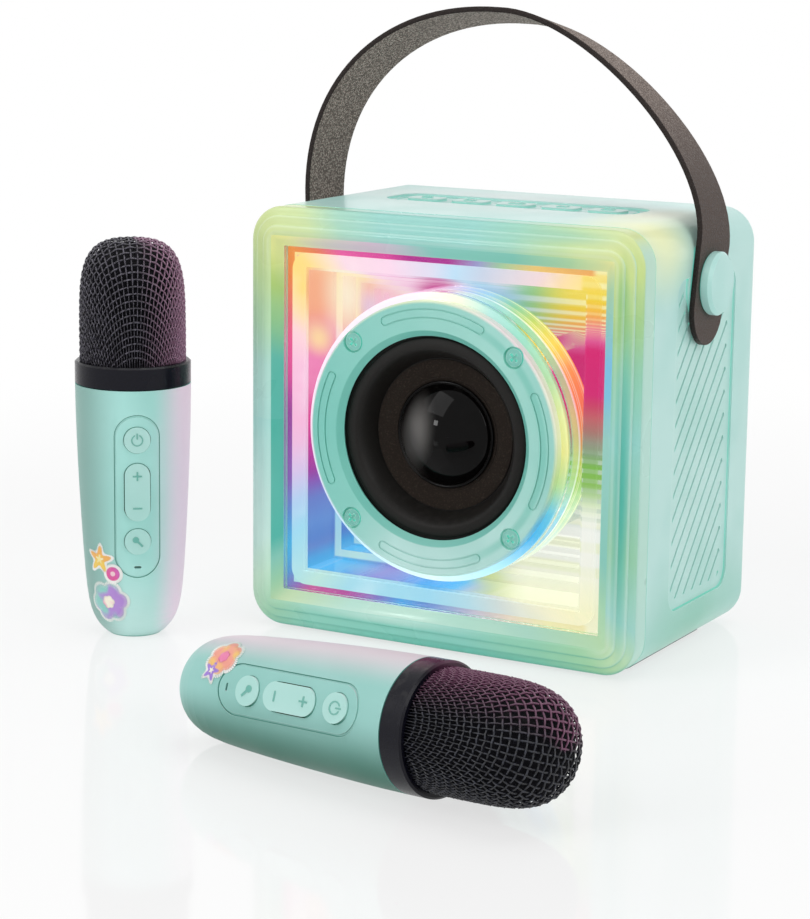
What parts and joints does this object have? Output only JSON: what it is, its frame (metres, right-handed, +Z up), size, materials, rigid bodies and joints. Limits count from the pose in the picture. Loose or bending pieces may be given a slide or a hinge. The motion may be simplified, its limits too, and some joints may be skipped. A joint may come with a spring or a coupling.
{
  "type": "karaoke machine",
  "caption": "Portable cube karaoke speaker with a light-tunnel window, strap handle, top keys and wireless handheld microphones with wire grilles.",
  "frame": {"origin": "centre of the speaker's base pad, on the surface it stands on", "axes": "+X to the speaker's right as seen from the front, -Y out of its front window, +Z up"},
  "size_m": [0.2608, 0.2711, 0.2326],
  "materials": {
    "mint_shell": "satin translucent mint plastic",
    "mint_bezel": "translucent mint plastic, lit from inside",
    "mint_ring": "satin mint plastic",
    "mint_button": "satin mint plastic",
    "mint_mic": "soft matt mint plastic",
    "clear_acrylic": "polished",
    "light_diffuser": "opal diffuser, glowing",
    "led_white": "white flexible board",
    "tunnel_reflector": "polished reflector, coloured by the light",
    "screw_steel": "zinc plated",
    "magnet_steel": "plated",
    "pad_rubber": "matt",
    "black_plastic": "satin",
    "surround_rubber": "satin",
    "cone_black": "matt coated paper",
    "cap_gloss_black": "polished",
    "coil_copper": "enamelled wire",
    "spider_cloth": "impregnated cloth",
    "circuit_board": "solder mask",
    "battery_wrap": "shrink wrap",
    "leatherette": "pebbled leatherette",
    "grille_wire": "black woven wire",
    "foam_black": "open foam"
  },
  "bodies": {
    "cabinet": {"main_shell": "mint_shell", "front_bezel": "mint_bezel", "back_cover": "mint_shell", "back_cover_screws": "screw_steel", "base_pad": "pad_rubber", "side_grille_left": "mint_shell", "side_grille_right": "mint_shell", "window_panel": "clear_acrylic", "light_frame": "light_diffuser", "led_strip": "led_white", "light_tunnel": "tunnel_reflector", "rear_mirror": "tunnel_reflector", "clear_spacer_ring": "clear_acrylic", "ring_standoffs": "clear_acrylic", "face_ring": "mint_ring", "face_ring_screws": "screw_steel", "driver_basket": "black_plastic", "driver_magnet": "magnet_steel", "control_panel": "mint_bezel", "button_board": "circuit_board", "main_board": "circuit_board", "battery_pack": "battery_wrap", "charge_socket": "screw_steel", "aux_socket": "black_plastic", "card_socket": "screw_steel", "pivot_button_left": "mint_button", "pivot_button_right": "mint_button"},
    "handle": {"handle_strap": "leatherette"},
    "cone": {"cone_surround": "surround_rubber", "speaker_cone": "cone_black", "dust_cap": "cap_gloss_black", "voice_coil": "coil_copper", "spider": "spider_cloth"},
    "power_button_key": {"power_button": "mint_button"},
    "previous_button_key": {"previous_button": "mint_button"},
    "play_button_key": {"play_button": "mint_button"},
    "next_button_key": {"next_button": "mint_button"},
    "mode_button_key": {"mode_button": "mint_button"},
    "mic_1": {"mic_1_shell": "mint_mic", "mic_1_collar": "black_plastic", "mic_1_grille": "grille_wire", "mic_1_foam": "foam_black", "mic_1_capsule": "screw_steel", "mic_1_control_plate": "mint_mic", "mic_1_board": "circuit_board", "mic_1_battery": "battery_wrap"},
    "mic_1_power_button_key": {"mic_1_power_button": "mint_button"},
    "mic_1_effect_button_key": {"mic_1_effect_button": "mint_button"},
    "mic_1_rocker": {"mic_1_volume_rocker": "mint_button"},
    "mic_2": {"mic_2_shell": "mint_mic", "mic_2_collar": "black_plastic", "mic_2_grille": "grille_wire", "mic_2_foam": "foam_black", "mic_2_capsule": "screw_steel", "mic_2_control_plate": "mint_mic", "mic_2_board": "circuit_board", "mic_2_battery": "battery_wrap"},
    "mic_2_power_button_key": {"mic_2_power_button": "mint_button"},
    "mic_2_effect_button_key": {"mic_2_effect_button": "mint_button"},
    "mic_2_rocker": {"mic_2_volume_rocker": "mint_button"}
  },
  "joints": [
    {"name": "handle_swing", "type": "hinge", "parent": "cabinet", "child": "handle", "pos_m": [0, 0.004, 0.137], "axis": [1, 0, 0], "range_deg": [-9, 30]},
    {"name": "cone_travel", "type": "slide", "parent": "cabinet", "child": "cone", "axis": [0, -1, 0], "range_m": [-0.0015, 0.0015], "stiffness_N_per_m": 1500, "deforming": ["cone_surround", "spider"]},
    {"name": "power_press", "type": "slide", "parent": "cabinet", "child": "power_button_key", "axis": [0, 0, -1], "range_m": [0, 0.0008], "stiffness_N_per_m": 600},
    {"name": "previous_press", "type": "slide", "parent": "cabinet", "child": "previous_button_key", "axis": [0, 0, -1], "range_m": [0, 0.0008], "stiffness_N_per_m": 600},
    {"name": "play_press", "type": "slide", "parent": "cabinet", "child": "play_button_key", "axis": [0, 0, -1], "range_m": [0, 0.0008], "stiffness_N_per_m": 600},
    {"name": "next_press", "type": "slide", "parent": "cabinet", "child": "next_button_key", "axis": [0, 0, -1], "range_m": [0, 0.0008], "stiffness_N_per_m": 600},
    {"name": "mode_press", "type": "slide", "parent": "cabinet", "child": "mode_button_key", "axis": [0, 0, -1], "range_m": [0, 0.0008], "stiffness_N_per_m": 600},
    {"name": "mic_1_lift", "type": "slide", "parent": "cabinet", "child": "mic_1", "axis": [0, 0, 1], "range_m": [0, 0.25]},
    {"name": "mic_1_power_press", "type": "slide", "parent": "mic_1", "child": "mic_1_power_button_key", "axis": [-0.6225, 0.7826, 0], "range_m": [0, 0.0006], "stiffness_N_per_m": 500},
    {"name": "mic_1_effect_press", "type": "slide", "parent": "mic_1", "child": "mic_1_effect_button_key", "axis": [-0.6225, 0.7826, 0], "range_m": [0, 0.0006], "stiffness_N_per_m": 500},
    {"name": "mic_1_volume_rock", "type": "hinge", "parent": "mic_1", "child": "mic_1_rocker", "pos_m": [-0.09997, -0.09537, 0.0575], "axis": [0.7826, 0.6225, 0], "range_deg": [-2.5, 2.5], "stiffness_Nm_per_rad": 0.05},
    {"name": "mic_2_lift", "type": "slide", "parent": "cabinet", "child": "mic_2", "axis": [0, 0, 1], "range_m": [0, 0.25]},
    {"name": "mic_2_power_press", "type": "slide", "parent": "mic_2", "child": "mic_2_power_button_key", "axis": [0.1931, 0.9198, -0.3416], "range_m": [0, 0.0006], "stiffness_N_per_m": 500},
    {"name": "mic_2_effect_press", "type": "slide", "parent": "mic_2", "child": "mic_2_effect_button_key", "axis": [0.1931, 0.9198, -0.3416], "range_m": [0, 0.0006], "stiffness_N_per_m": 500},
    {"name": "mic_2_volume_rock", "type": "hinge", "parent": "mic_2", "child": "mic_2_rocker", "pos_m": [0.03466, -0.20375, 0.02663], "axis": [-0.0174, -0.3449, -0.9385], "range_deg": [-2.5, 2.5], "stiffness_Nm_per_rad": 0.05}
  ]
}
